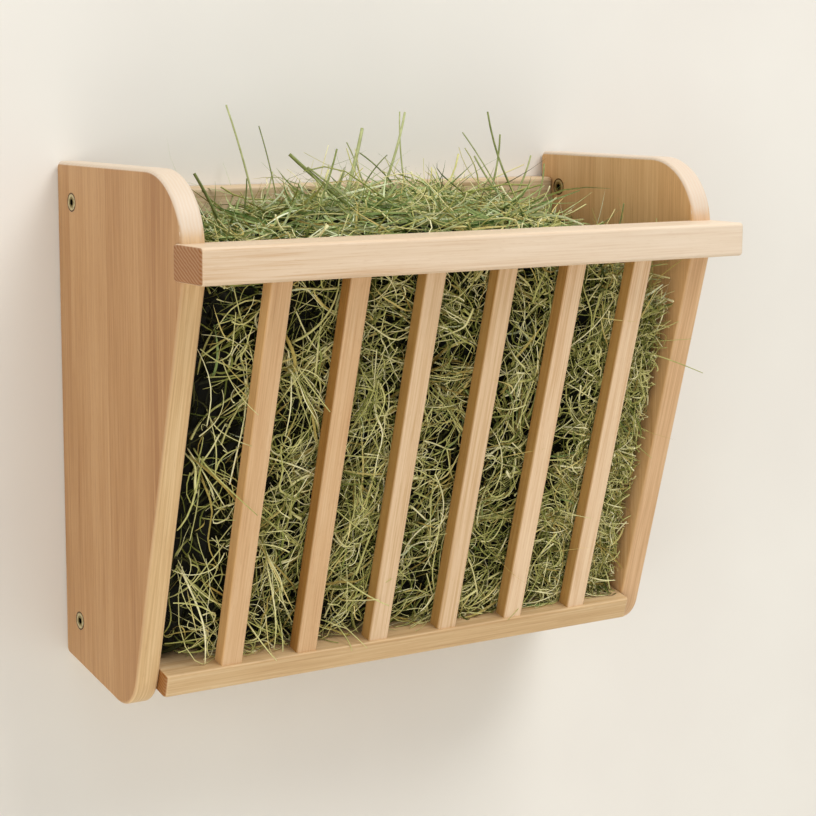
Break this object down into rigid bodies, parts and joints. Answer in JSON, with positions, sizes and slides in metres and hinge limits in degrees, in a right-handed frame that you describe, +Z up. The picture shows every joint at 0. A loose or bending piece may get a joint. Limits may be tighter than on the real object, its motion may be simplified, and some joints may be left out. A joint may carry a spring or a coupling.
{
  "type": "wall-mounted hay feeder",
  "caption": "Wooden wall rack: slats lean out between a tilted floor board and a heavy front rail, holding hay for small animals to pull through the gaps",
  "frame": {"origin": "centre of the four wall-screw holes, in the plane of the wall", "axes": "+X along the wall to the viewer's right, the front with the slats faces -Y and the wall is the plane Y = 0, +Z up"},
  "size_m": [0.406, 0.199, 0.3714],
  "materials": {
    "panel_wood": "planed hardwood with eased edges, oiled, fine straight grain running upright",
    "rail_wood": "planed pale hardwood with rounded edges, oiled, fine grain along the rail",
    "slat_wood": "planed hardwood with eased edges, oiled, grain along the slat",
    "floor_wood": "planed hardwood board, oiled, grain along the board",
    "dowel_wood": "turned pale hardwood, unfinished",
    "brass": "dull turned brass",
    "hay": "loose dry grass, pale green to straw yellow"
  },
  "bodies": {
    "root": {"left_side_panel": "panel_wood", "right_side_panel": "panel_wood", "front_rail": "rail_wood", "slat_1": "slat_wood", "slat_2": "slat_wood", "slat_3": "slat_wood", "slat_4": "slat_wood", "slat_5": "slat_wood", "slat_6": "slat_wood", "floor_board": "floor_wood", "upper_back_rail": "rail_wood", "lower_back_rail": "rail_wood", "slat_foot_dowels": "dowel_wood", "slat_head_dowels": "dowel_wood", "front_rail_dowels": "dowel_wood", "back_rail_dowels": "dowel_wood", "floor_board_dowels": "dowel_wood", "panel_bolts": "brass", "panel_bolt_sleeves": "brass", "floor_screws": "brass", "hay_fill": "hay", "hay_stems": "hay"}
  },
  "joints": []
}
